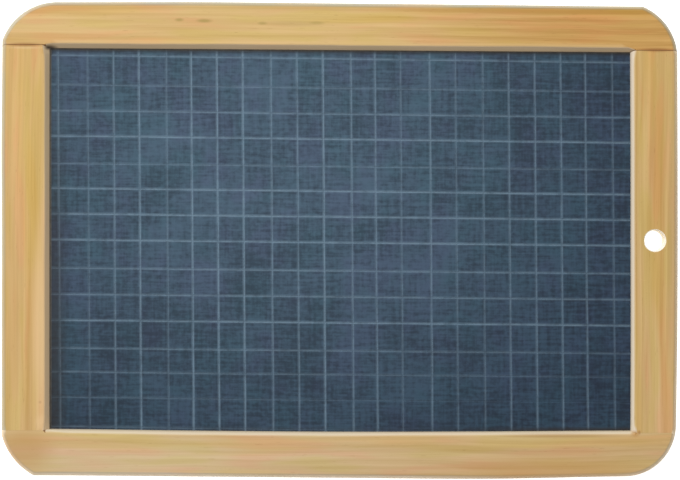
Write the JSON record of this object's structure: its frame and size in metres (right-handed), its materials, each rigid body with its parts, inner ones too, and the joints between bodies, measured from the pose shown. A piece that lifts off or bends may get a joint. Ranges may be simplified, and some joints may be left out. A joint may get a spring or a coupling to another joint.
{
  "type": "slate writing board",
  "caption": "Slate writing board: a sheet of slate scribed with squares, held in a grooved wooden frame with rounded corners and a hanging hole.",
  "frame": {"origin": "middle of the back face, where the board lies on a table", "axes": "+X along the length towards the hanging hole, +Y towards the top rail, +Z out of the ruled face"},
  "size_m": [0.26, 0.1826, 0.009],
  "materials": {
    "frame_wood": "bare honey-coloured wood, sanded smooth",
    "slate": "matt blue-grey slate, rubbed smooth and scribed with pale lines"
  },
  "bodies": {
    "root": {"top_rail": "frame_wood", "bottom_rail": "frame_wood", "left_stile": "frame_wood", "right_stile": "frame_wood", "slate_panel": "slate"}
  },
  "joints": []
}
